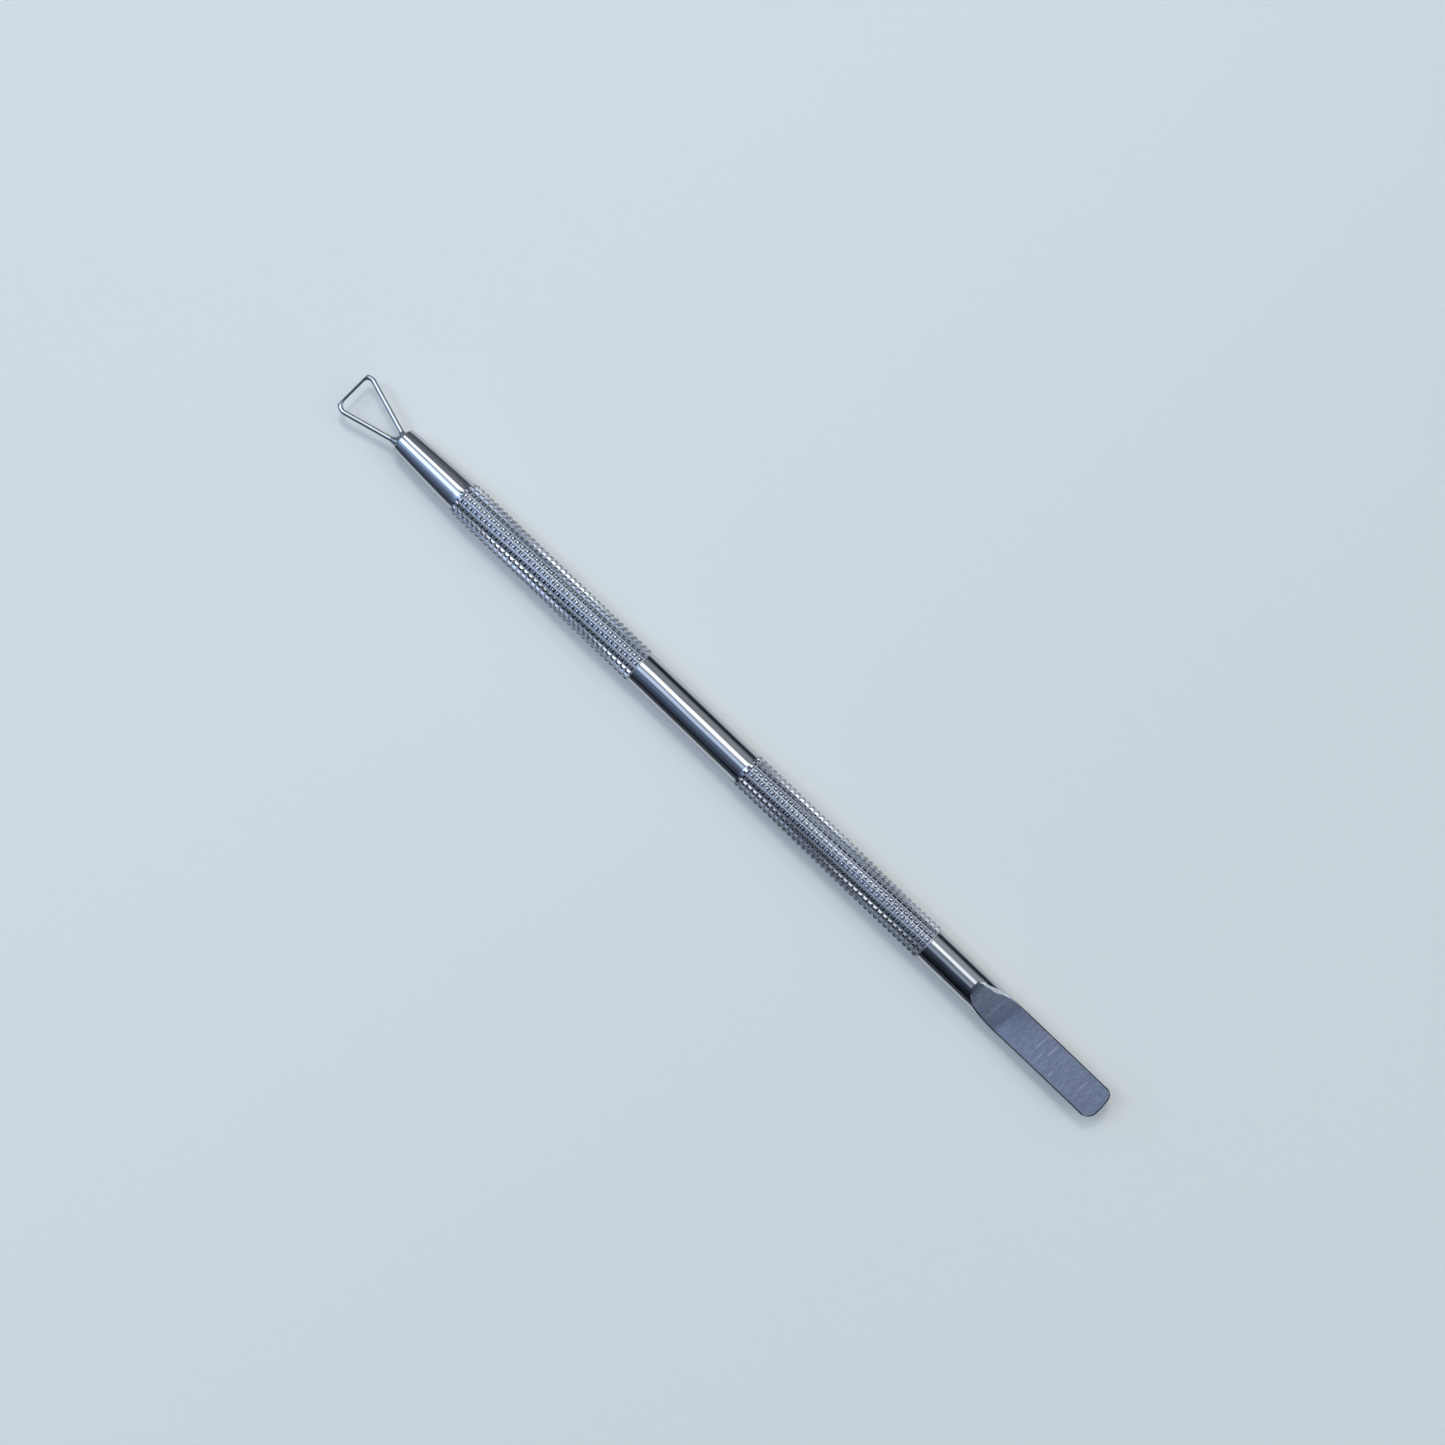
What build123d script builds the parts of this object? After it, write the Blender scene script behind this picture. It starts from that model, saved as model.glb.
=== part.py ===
from build123d import *
import os
from math import atan, cos, radians, sqrt, tan

# A double-ended cuticle pusher, in millimetres.
# +X runs along the tool from the wire loop to the pusher blade, +Z is up, out of the
# blade's ground face, and +Y is on the left of someone who looks along +X.
# The origin lies under the middle of the tool, on the surface that the knurls rest on.

# ---- Driving dimensions: lengths along the tool, from the loop's end to the blade's tip ----
loop_reach = 9.8
cone_length = 11.9
knurl_length = 33.25
shank_length = 20.4
collar_length = 8.2
blade_length = 23.2

# ---- The bar: plain stretches, knurl, and the nose with its drilled bore ----
bar_diameter = 5.0
knurl_diameter = 5.3
cone_end_diameter = 4.9
mouth_diameter = 3.75
mouth_rounding = 0.3
cone_swell = 0.06
bore_diameter = 2.5
bore_depth = 6.5
drill_tip_depth = 0.7

# ---- The knurl: V grooves at 45 degrees a side, in rings and lengthwise ----
teeth_around = 18
rings_along = 38
groove_depth = 0.28
groove_run_out = 0.6

# ---- The blade, ground from above and from below; heights are from the bar's axis ----
face_height = 0.65
face_level_from = 6.5
face_root_height = 2.12
face_root_step = 0.25
face_middle = (3.0, 1.34)
underside_start = 2.0
underside_middle = (9.0, -1.0)
underside_tip_height = -0.1
tip_bevel_length = 0.7
tip_bevel_height = 0.25
tip_bulge = 0.22
tip_bow_radius = 12.0
tip_corner_left = 1.0
tip_corner_right = 1.4
tip_side_clearance = 0.1

# ---- The wire loop ----
wire_diameter = 0.75
crossbar_thickness = 0.27
leg_left_y = 0.47
leg_right_y = -0.83
leg_in_bore = 5.8
leg_bend_distance = 0.3
leg_bend_radius = 0.8
arm_angle_left = 17.25
arm_angle_right = 14.3
corner_radius_left = 1.04
corner_radius_right = 1.3

# ---- The braze, which stands a little out of the mouth ----
braze_nose = 0.4

# ---- Radii and places worked out from the dimensions above ----
bar_radius = bar_diameter / 2
knurl_radius = knurl_diameter / 2
mouth_radius = mouth_diameter / 2
cone_end_radius = cone_end_diameter / 2
bore_radius = bore_diameter / 2
wire_radius = wire_diameter / 2
groove_floor = knurl_radius - groove_depth
ring_pitch = knurl_length / rings_along

overall_length = (
    loop_reach + cone_length + 2 * knurl_length + shank_length + collar_length + blade_length
)
loop_end_x = -overall_length / 2
mouth_x = loop_end_x + loop_reach
rear_knurl_x = mouth_x + cone_length
shank_x = rear_knurl_x + knurl_length
front_knurl_x = shank_x + shank_length
collar_x = front_knurl_x + knurl_length
blade_x = collar_x + collar_length
tip_x = blade_x + blade_length

# A 45 degree groove flank climbs this far from the groove's floor to the knurl's surface.
# A groove lies at the very bottom, so the tool rests on the edges of two rows of teeth.
flank_climb = (sqrt(2 * knurl_radius**2 - groove_floor**2) - groove_floor) / 2

# The bar's axis, with the upright, level and crosswise planes that pass through it.
axis_height = groove_floor + flank_climb
bar_axis = Axis((0, 0, axis_height), (1, 0, 0))
upright = Plane(origin=(0, 0, axis_height), x_dir=(1, 0, 0), z_dir=(0, -1, 0))
level = Plane.XY.offset(axis_height)


def across(x):
    """The plane square to the bar at x, looking towards the blade, with its own x along +Y."""
    return Plane(origin=(x, 0, axis_height), x_dir=(0, 1, 0), z_dir=(1, 0, 0))


def knurl_outline(start_x, radius_before, radius_after):
    """One knurl's outline: a V groove at each end and between each two flat-topped rings."""
    points = [(start_x - (radius_before - groove_floor), radius_before)]
    for ring in range(rings_along):
        ring_x = start_x + ring * ring_pitch
        points.append((ring_x, groove_floor))
        points.append((ring_x + groove_depth, knurl_radius))
        points.append((ring_x + ring_pitch - groove_depth, knurl_radius))
    end_x = start_x + knurl_length
    points.append((end_x, groove_floor))
    points.append((end_x + radius_after - groove_floor, radius_after))
    return points


# =====================================================================================
# handle_bar: one turned, knurled and ground bar
# =====================================================================================
rear_knurl = knurl_outline(rear_knurl_x, cone_end_radius, bar_radius)
front_knurl = knurl_outline(front_knurl_x, bar_radius, bar_radius)
mouth_edge = (mouth_x, mouth_radius - mouth_rounding)
cone_start = (mouth_x + mouth_rounding, mouth_radius)
cone_middle = (
    mouth_x + cone_length / 2,
    (mouth_radius + cone_end_radius) / 2 + cone_swell,
)

with BuildPart() as handle_bar:
    # The turned blank, spun round the bar's axis with the rings of both knurls in it.
    with BuildSketch(upright):
        with BuildLine():
            Line((mouth_x, 0), mouth_edge)
            RadiusArc(mouth_edge, cone_start, mouth_rounding)
            ThreePointArc(cone_start, cone_middle, rear_knurl[0])
            Polyline(*rear_knurl, *front_knurl, (tip_x, bar_radius), (tip_x, 0), (mouth_x, 0))
        make_face()
    revolve(axis=bar_axis)

    # The lengthwise grooves, which cut the rings into teeth and run out a little behind.
    groove_reach = 2 * groove_depth
    for start_x in (rear_knurl_x, front_knurl_x):
        with BuildSketch(across(start_x - groove_run_out)):
            with PolarLocations(0, teeth_around, start_angle=90):
                Polygon(
                    (groove_floor, 0),
                    (groove_floor + groove_reach, groove_reach),
                    (groove_floor + groove_reach, -groove_reach),
                    align=None,
                )
        extrude(amount=groove_run_out + knurl_length, mode=Mode.SUBTRACT)

    # The blind bore, with the drill's conical tip.
    with BuildSketch(upright):
        Polygon(
            (mouth_x, 0),
            (mouth_x, bore_radius),
            (mouth_x + bore_depth, bore_radius),
            (mouth_x + bore_depth + drill_tip_depth, 0),
            align=None,
        )
    revolve(axis=bar_axis, mode=Mode.SUBTRACT)

    # The blade's upper face: a blunt start, a hollow slope, then a level flat to the tip.
    face_root = (blade_x + face_root_step, face_root_height)
    face_level = (blade_x + face_level_from, face_height)
    with BuildSketch(upright):
        with BuildLine():
            Line((blade_x, bar_radius), face_root)
            Spline(
                face_root,
                (blade_x + face_middle[0], face_middle[1]),
                face_level,
                tangents=[(1, -0.35), (1, 0)],
            )
            Polyline(
                face_level,
                (tip_x, face_height),
                (tip_x, knurl_diameter),
                (blade_x, knurl_diameter),
                (blade_x, bar_radius),
            )
        make_face()
    extrude(amount=knurl_diameter, both=True, mode=Mode.SUBTRACT)

    # The underside: a longer slope that thins the blade, and a bevel at the tip's edge.
    underside_root = (blade_x + underside_start, -bar_radius)
    bevel_start = (tip_x - tip_bevel_length, underside_tip_height)
    with BuildSketch(upright):
        with BuildLine():
            Spline(
                underside_root,
                (blade_x + underside_middle[0], underside_middle[1]),
                bevel_start,
                tangents=[(1, 0.45), (1, 0.02)],
            )
            Polyline(
                bevel_start,
                (tip_x, tip_bevel_height),
                (tip_x, -knurl_diameter),
                (blade_x + underside_start, -knurl_diameter),
                underside_root,
            )
        make_face()
    extrude(amount=knurl_diameter, both=True, mode=Mode.SUBTRACT)

    # The tip's outline from above: a shallow bow between two rounded corners.
    tip_side = bar_radius + tip_side_clearance
    tip_block_x = tip_x - bar_diameter
    bow_slope = atan(tip_bulge / tip_side)
    bow_peak_x = tip_x + tip_bow_radius * (1 / cos(bow_slope) - 1)
    with BuildSketch(level):
        with BuildLine():
            FilletPolyline(
                (tip_block_x, tip_side),
                (tip_x - tip_bulge, tip_side),
                (bow_peak_x, 0),
                (tip_x - tip_bulge, -tip_side),
                (tip_block_x, -tip_side),
                radius=[tip_corner_left, tip_bow_radius, tip_corner_right],
            )
            Polyline(
                (tip_block_x, -tip_side),
                (tip_block_x, -bar_diameter),
                (tip_x + tip_side, -bar_diameter),
                (tip_x + tip_side, bar_diameter),
                (tip_block_x, bar_diameter),
                (tip_block_x, tip_side),
            )
        make_face()
    extrude(amount=knurl_diameter, both=True, mode=Mode.SUBTRACT)

handle_bar.part.label = "handle_bar"

# =====================================================================================
# wire_loop: one bent wire, both legs in the bore, its crossbar ground flat outside
# =====================================================================================
crossbar_x = loop_end_x + crossbar_thickness - wire_radius
leg_bend_x = mouth_x - leg_bend_distance
arm_run = leg_bend_x - crossbar_x
leg_end_x = mouth_x + leg_in_bore

with BuildPart() as wire_loop:
    with BuildLine(level) as wire_path:
        FilletPolyline(
            (leg_end_x, leg_left_y),
            (leg_bend_x, leg_left_y),
            (crossbar_x, leg_left_y + arm_run * tan(radians(arm_angle_left))),
            (crossbar_x, leg_right_y - arm_run * tan(radians(arm_angle_right))),
            (leg_bend_x, leg_right_y),
            (leg_end_x, leg_right_y),
            radius=[leg_bend_radius, corner_radius_left, corner_radius_right, leg_bend_radius],
        )
    with BuildSketch(Plane(origin=wire_path.line @ 0, z_dir=wire_path.line % 0)):
        Circle(wire_radius)
    sweep()
    split(bisect_by=Plane(origin=(loop_end_x, 0, 0), z_dir=(1, 0, 0)), keep=Keep.TOP)

wire_loop.part.label = "wire_loop"

# =====================================================================================
# braze_fill: the braze metal round the two legs, with its blob at the mouth
# =====================================================================================
with BuildPart() as braze_fill:
    with BuildSketch(upright):
        with BuildLine():
            ThreePointArc(
                (mouth_x - braze_nose, 0),
                (mouth_x - braze_nose * 0.75, bore_radius * 0.6),
                (mouth_x, bore_radius),
            )
            Polyline(
                (mouth_x, bore_radius),
                (mouth_x + bore_depth, bore_radius),
                (mouth_x + bore_depth + drill_tip_depth, 0),
                (mouth_x - braze_nose, 0),
            )
        make_face()
    revolve(axis=bar_axis)
    add(wire_loop.part, mode=Mode.SUBTRACT)

braze_fill.part.label = "braze_fill"

os.makedirs("parts", exist_ok=True)
for piece in (handle_bar, wire_loop, braze_fill):
    export_step(piece.part, f"parts/{piece.part.label}.step")
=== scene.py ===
from math import acos, atan, cos, degrees, exp, hypot, pi, radians, sin, sqrt, tan

import bmesh
import bpy
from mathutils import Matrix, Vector, noise


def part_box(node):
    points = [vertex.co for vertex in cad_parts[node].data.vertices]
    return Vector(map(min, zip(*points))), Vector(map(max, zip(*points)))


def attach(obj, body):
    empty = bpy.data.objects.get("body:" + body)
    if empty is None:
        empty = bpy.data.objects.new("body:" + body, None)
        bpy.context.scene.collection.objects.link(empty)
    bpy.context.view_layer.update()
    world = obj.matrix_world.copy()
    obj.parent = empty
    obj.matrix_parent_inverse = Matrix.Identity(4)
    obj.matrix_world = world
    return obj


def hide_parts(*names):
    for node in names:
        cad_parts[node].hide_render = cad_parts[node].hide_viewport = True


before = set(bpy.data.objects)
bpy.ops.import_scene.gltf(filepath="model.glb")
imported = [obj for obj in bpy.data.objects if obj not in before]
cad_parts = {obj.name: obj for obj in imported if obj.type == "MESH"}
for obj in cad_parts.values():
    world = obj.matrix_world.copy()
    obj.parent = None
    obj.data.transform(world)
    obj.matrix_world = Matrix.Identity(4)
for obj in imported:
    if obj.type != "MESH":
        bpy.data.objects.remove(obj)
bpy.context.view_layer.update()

# =====================================================================================
# Dimensions, in millimetres. Shapes are worked out in millimetres from the bar's axis,
# and to_metres puts them in the frame.
# =====================================================================================
MM = 0.001


def box_mm(node):
    """A CAD node's lowest and highest corners, in millimetres."""
    low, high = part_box(node)
    return [v / MM for v in low], [v / MM for v in high]


bar_low, bar_high = box_mm("handle_bar")
wire_low, wire_high = box_mm("wire_loop")
MOUTH_X = bar_low[0]
TIP_X = bar_high[0]
LOOP_END_X = wire_low[0]
AXIS_Z = (wire_low[2] + wire_high[2]) / 2
WIRE_RADIUS = (wire_high[2] - wire_low[2]) / 2

# Stretches of the bar, from the mouth to the blade's tip.
CONE_LENGTH = 11.9
KNURL_LENGTH = 33.25
COLLAR_LENGTH = 8.2
BLADE_LENGTH = 23.2
REAR_KNURL_X = MOUTH_X + CONE_LENGTH
SHANK_X = REAR_KNURL_X + KNURL_LENGTH
BLADE_X = TIP_X - BLADE_LENGTH
COLLAR_X = BLADE_X - COLLAR_LENGTH
FRONT_KNURL_X = COLLAR_X - KNURL_LENGTH

BAR_RADIUS = 2.5
KNURL_RADIUS = 2.65
MOUTH_RADIUS = 1.875
MOUTH_ROUNDING = 0.3
CONE_END_RADIUS = 2.45
CONE_SWELL = 0.06
BORE_RADIUS = 1.25
BORE_DEPTH = 6.5

# Edges that turn by more than these angles, in degrees, stay sharp.
SHARP = 30
KNURL_SHARP = 24

# The knurl's groove and tooth, as distance from the groove's middle and height above its
# floor. The same outline serves along the tool and round it.
TEETH = 18
RINGS = 38
GROOVE_DEPTH = 0.28
GROOVE_FLOOR = KNURL_RADIUS - GROOVE_DEPTH
TOOTH_OUTLINE = (
    (-0.28, 0.240),
    (-0.085, 0.045),
    (-0.04, 0.0),
    (0.04, 0.0),
    (0.085, 0.045),
    (0.28, 0.240),
    (0.4375, GROOVE_DEPTH),
)
# The rows of teeth lean, fade in behind each knurl, and start at their own places.
KNURL_LEAN = radians(2.3)
RUN_OUT_FROM = -0.4
FIRST_RING_REAR = 0.70
FIRST_RING_FRONT = 0.51
ROW_PHASE_REAR = -0.28
ROW_PHASE_FRONT = -0.24

# The blade. Columns of the bar's mesh are shared out between its four sides.
FACE_COLUMNS = 47
FLANK_COLUMNS = 16
COLUMNS = 2 * (FACE_COLUMNS + FLANK_COLUMNS)
FACE_HEIGHT = 0.65
ROOT_STEP = 0.45
ROOT_HEIGHT = 2.2
UNDERSIDE_START = 2.0
UNDERSIDE_ROOT_TURN = radians(14)
TIP_HALF_WIDTH = 2.5
TIP_BOW_RADIUS = 12.0
TIP_BOW_SLOPE = 0.0846
TIP_CORNER_LEFT = 1.15
TIP_CORNER_RIGHT = 1.55
TIP_ZONE = 3.5
TIP_BEVEL_FROM = BLADE_LENGTH - 0.7
TIP_BEVEL_SLOPE = 0.5
TIP_RIM = 0.18
EDGE_BEVEL = 0.11

# The wire loop, from its left leg round to its right one.
CROSSBAR_THICKNESS = 0.27
CROSSBAR_X = LOOP_END_X + CROSSBAR_THICKNESS - WIRE_RADIUS
LEG_BEND_X = MOUTH_X - 0.3
LEG_END_X = MOUTH_X + 5.8
LEG_LEFT_Y = 0.47
LEG_RIGHT_Y = -0.83
ARM_LEFT = radians(17.25)
ARM_RIGHT = radians(14.3)
BEND_RADII = (0.8, 1.04, 1.3, 0.8)

# The braze: its dome in the mouth, and how far it climbs up the right and left legs.
BRAZE_RADIUS = BORE_RADIUS - 0.01
BRAZE_DOME = 0.34
BRAZE_CLIMB_LEFT = 1.0
BRAZE_CLIMB_RIGHT = 1.45
BRAZE_SLEEVE = 0.2
BRAZE_VOXEL = 0.045


# =====================================================================================
# Mesh helpers
# =====================================================================================
def to_metres(point):
    """A point in millimetres from the bar's axis, in the frame's metres."""
    x, y, z = point
    return (x * MM, y * MM, (z + AXIS_Z) * MM)


def smooth(low, high, value):
    """0 below low, 1 above high, and a smooth rise between them."""
    t = min(max((value - low) / (high - low), 0.0), 1.0)
    return t * t * (3 - 2 * t)


def mix(a, b, t):
    return a + (b - a) * t


def through(points, x):
    """Height at x on the smooth curve through (x, height, slope) points."""
    if x <= points[0][0]:
        return points[0][1]
    for (x0, h0, m0), (x1, h1, m1) in zip(points, points[1:]):
        if x <= x1:
            span = x1 - x0
            t = (x - x0) / span
            return (
                (2 * t**3 - 3 * t**2 + 1) * h0
                + (t**3 - 2 * t**2 + t) * span * m0
                + (3 * t**2 - 2 * t**3) * h1
                + (t**3 - t**2) * span * m1
            )
    return points[-1][1]


def new_piece(name, mesh, materials):
    """Put a mesh in the scene with its materials."""
    for material in materials:
        mesh.materials.append(material)
    piece = bpy.data.objects.new(name, mesh)
    bpy.context.scene.collection.objects.link(piece)
    return piece


def finish_mesh(grid, mesh, limits):
    """Write a bmesh to a mesh, smooth except where an edge is sharper than its limit.

    limits gives the limit in degrees for an edge whose faces all have that material index,
    and None gives it for every other edge.
    """
    bmesh.ops.recalc_face_normals(grid, faces=grid.faces)
    for face in grid.faces:
        face.smooth = True
    for edge in grid.edges:
        kinds = {face.material_index for face in edge.link_faces}
        limit = limits.get(kinds.pop(), limits[None]) if len(kinds) == 1 else limits[None]
        edge.smooth = edge.calc_face_angle(pi) < radians(limit)
    grid.to_mesh(mesh)
    grid.free()


# =====================================================================================
# Node helpers
# =====================================================================================
class Nodes:
    """Builds one node tree with short calls."""

    def __init__(self, tree):
        self.tree = tree
        tree.nodes.clear()

    def add(self, kind, **settings):
        node = self.tree.nodes.new(kind)
        for name, value in settings.items():
            setattr(node, name, value)
        return node

    def plug(self, source, socket):
        """Link an output, or write a plain value, into an input socket."""
        if isinstance(source, bpy.types.NodeSocket):
            self.tree.links.new(source, socket)
        else:
            socket.default_value = source

    def math(self, operation, *values):
        node = self.add("ShaderNodeMath", operation=operation)
        for value, socket in zip(values, node.inputs):
            self.plug(value, socket)
        return node.outputs[0]

    def plus(self, a, b):
        return self.math("ADD", a, b)

    def minus(self, a, b):
        return self.math("SUBTRACT", a, b)

    def product(self, *values):
        result = values[0]
        for value in values[1:]:
            result = self.math("MULTIPLY", result, value)
        return result

    def ramp(self, value, low, high, out_low=0.0, out_high=1.0):
        """A smooth change from out_low to out_high as value goes from low to high."""
        node = self.add("ShaderNodeMapRange", interpolation_type="SMOOTHSTEP")
        for source, socket in zip((value, low, high, out_low, out_high), node.inputs):
            self.plug(source, socket)
        return node.outputs[0]

    def colours(self, value, stops):
        """A colour ramp with (position, (r, g, b)) stops."""
        node = self.add("ShaderNodeValToRGB")
        elements = node.color_ramp.elements
        while len(elements) < len(stops):
            elements.new(0.5)
        for element, (position, colour) in zip(elements, stops):
            element.position = position
            element.color = (*colour, 1)
        self.plug(value, node.inputs[0])
        return node.outputs[0]

    def xyz(self, vector):
        node = self.add("ShaderNodeSeparateXYZ")
        self.plug(vector, node.inputs[0])
        return node.outputs

    def vector(self, x, y, z):
        node = self.add("ShaderNodeCombineXYZ")
        for value, socket in zip((x, y, z), node.inputs):
            self.plug(value, socket)
        return node.outputs[0]

    def noise(self, *coordinates, detail, roughness=0.5):
        """Noise at a point whose coordinates are (value, scale) pairs or plain numbers."""
        scaled = [self.product(*c) if isinstance(c, tuple) else c for c in coordinates]
        node = self.add("ShaderNodeTexNoise")
        self.plug(self.vector(*scaled), node.inputs["Vector"])
        node.inputs["Scale"].default_value = 1.0
        node.inputs["Detail"].default_value = detail
        node.inputs["Roughness"].default_value = roughness
        return node.outputs["Fac"]

    def blend(self, factor, a, b, mode="MIX"):
        """Colour a, changed towards b by a factor."""
        node = self.add("ShaderNodeMix", data_type="RGBA", blend_type=mode)
        self.plug(factor, node.inputs[0])
        for value, socket in ((a, node.inputs[6]), (b, node.inputs[7])):
            if isinstance(value, tuple):
                value = (*value, 1)
            self.plug(value, socket)
        return node.outputs[2]


# =====================================================================================
# World: a dim room with one long soft window and one blue-white lamp
# =====================================================================================
BLACK = (0.0, 0.0, 0.0)

# The room's colour at angles in degrees from +Y (-90) over the zenith to -Y (+90).
ROOM = (
    (-90, (0.05, 0.06, 0.07)),
    (-82, (0.015, 0.018, 0.025)),
    (-74, (0.06, 0.07, 0.085)),
    (-64, (0.24, 0.265, 0.295)),
    (-55, (0.32, 0.355, 0.39)),
    (-45, (0.32, 0.36, 0.395)),
    (-36, (0.24, 0.27, 0.295)),
    (5, (0.18, 0.22, 0.29)),
    (30, (0.12, 0.17, 0.28)),
    (39, (0.16, 0.215, 0.33)),
    (51, (0.08, 0.11, 0.168)),
    (62, (0.06, 0.078, 0.12)),
    (78, (0.034, 0.041, 0.066)),
    (88, (0.012, 0.015, 0.028)),
)
# Leans towards +X, in degrees, about which the light from the room is arranged.
ROOM_CENTRE = -5.0
LAMP_CENTRE = -25.0
LAMP_WIDTH = 22.0
HIGH_FILL = (1.05, 1.1, 1.1)
LOW_FILL_LEFT = (0.09, 0.115, 0.14)
LOW_FILL_RIGHT = (0.035, 0.055, 0.09)
WINDOW_COLOUR = (2.6, 2.6, 2.6)
LAMP_COLOUR = (1.38, 1.62, 2.0)
BACKDROP = (0.60, 0.65, 0.68)


def room_level(n, across, along, z):
    """The room's brightness in a direction."""
    # The -Y side of the room is brighter towards the loop, the +Y side towards the blade.
    near = n.minus(n.math("MAXIMUM", n.math("MINIMUM", along, 18.0), -24.0), ROOM_CENTRE)
    towards_blade = n.ramp(near, -1.0, 6.0, -0.063, -0.11)
    trend = n.ramp(across, -20.0, 20.0, 0.03, towards_blade)
    level = n.math("EXPONENT", n.product(near, trend))
    dim = n.product(n.ramp(across, 24.0, 34.0), n.ramp(along, -3.0, 3.0, 0.0, 0.4))
    level = n.product(level, n.minus(1.0, dim))
    # Far towards the blade the room is evenly bright, and it darkens at the horizon.
    beyond = n.ramp(along, 20.0, 42.0)
    level = n.plus(n.product(level, n.minus(1.0, beyond)), n.product(beyond, 1.2))
    return n.product(level, n.ramp(z, 0.0, 0.3, 0.2, 1.0))


def room_fills(n, across, along):
    """Soft fills: low on both sides near the loop, and high beyond the blade."""
    low = n.ramp(along, -8.0, -17.0)
    high_side = n.plus(
        n.product(n.ramp(across, -60.0, -35.0), n.ramp(across, 50.0, 20.0, 0.0, 0.25)),
        n.product(n.ramp(across, -54.0, -42.0), n.ramp(across, -14.0, -26.0)),
    )
    high = n.product(n.ramp(along, 9.0, 28.0), n.ramp(along, 70.0, 52.0), high_side)
    return (
        n.blend(n.product(n.ramp(across, -64.0, -76.0), low), BLACK, LOW_FILL_LEFT),
        n.blend(n.product(n.ramp(across, 66.0, 80.0), low), BLACK, LOW_FILL_RIGHT),
        n.blend(high, BLACK, HIGH_FILL),
    )


def window_light(n, across, along):
    """A band of light that leans over to both sides of the room's centre."""
    slant = n.product(n.math("ABSOLUTE", n.minus(along, ROOM_CENTRE)), -0.5)
    place = n.minus(across, slant)
    sides = n.product(n.ramp(place, -33.0, -16.0), n.ramp(place, 1.0, -15.0))
    ends = n.product(n.ramp(along, -60.0, -7.0), n.ramp(along, 11.0, -5.0))
    return n.blend(n.product(sides, ends), BLACK, WINDOW_COLOUR)


def lamp_light(n, across, along):
    """A lamp on the -Y side, which looks wider from the loop's end."""
    lean = n.math("DIVIDE", n.minus(along, LAMP_CENTRE), LAMP_WIDTH)
    wider = n.ramp(along, -5.0, -19.0)
    rise = n.minus(-4.0, n.product(wider, 7.0))
    full = n.minus(12.0, n.product(wider, 3.0))
    end = n.plus(29.0, n.product(wider, 6.0))
    sides = n.product(n.ramp(across, rise, full), n.ramp(across, end, 19.0))
    fade = n.math("EXPONENT", n.product(lean, lean, -1.0))
    return n.blend(n.product(sides, fade), BLACK, LAMP_COLOUR)


def build_world():
    world = bpy.data.worlds.new("studio")
    bpy.context.scene.world = world
    world.use_nodes = True
    n = Nodes(world.node_tree)
    x, y, z = n.xyz(n.add("ShaderNodeTexCoord").outputs["Generated"])
    # Angles in degrees: across runs from +Y (-90) over the zenith to -Y (+90), and along
    # is the lean towards +X.
    across = n.math("DEGREES", n.math("ARCTAN2", n.product(y, -1.0), z))
    along = n.math("DEGREES", n.math("ARCSINE", x))

    stops = [((angle + 90) / 180, colour) for angle, colour in ROOM]
    room = n.colours(n.math("DIVIDE", n.plus(across, 90.0), 180.0), stops)
    level = room_level(n, across, along, z)
    light = n.blend(1.0, room, n.vector(level, level, level), "MULTIPLY")
    lights = (*room_fills(n, across, along), window_light(n, across, along))
    for more in (*lights, lamp_light(n, across, along)):
        light = n.blend(1.0, light, more, "ADD")
    # The camera sees a plain pale backdrop beyond the floor.
    seen = n.add("ShaderNodeLightPath").outputs["Is Camera Ray"]
    background = n.add("ShaderNodeBackground")
    n.plug(n.blend(seen, light, BACKDROP), background.inputs["Color"])
    n.plug(background.outputs[0], n.add("ShaderNodeOutputWorld").inputs[0])


build_world()


# =====================================================================================
# Materials
# =====================================================================================
def new_material(name):
    """A new material: its node builder, its Principled shader's inputs, and the surface
    point in millimetres from the bar's axis."""
    material = bpy.data.materials.new(name)
    material.use_nodes = True
    n = Nodes(material.node_tree)
    shader = n.add("ShaderNodeBsdfPrincipled")
    n.plug(shader.outputs[0], n.add("ShaderNodeOutputMaterial").inputs[0])
    point = n.xyz(n.add("ShaderNodeTexCoord").outputs["Object"])
    x, y, z = [n.math("DIVIDE", value, MM) for value in point]
    return material, n, shader.inputs, (x, y, n.minus(z, AXIS_Z))


def finish_steel(n, inputs, colour, metallic, roughness, height, depth_mm):
    """Plug in a steel's colour, metal and roughness, and a relief of a small depth."""
    n.plug(colour, inputs["Base Color"])
    n.plug(metallic, inputs["Metallic"])
    n.plug(roughness, inputs["Roughness"])
    bump = n.add("ShaderNodeBump")
    bump.inputs["Distance"].default_value = depth_mm * MM
    bump.inputs["Strength"].default_value = 1.0
    n.plug(height, bump.inputs["Height"])
    n.plug(bump.outputs[0], inputs["Normal"])


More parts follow.
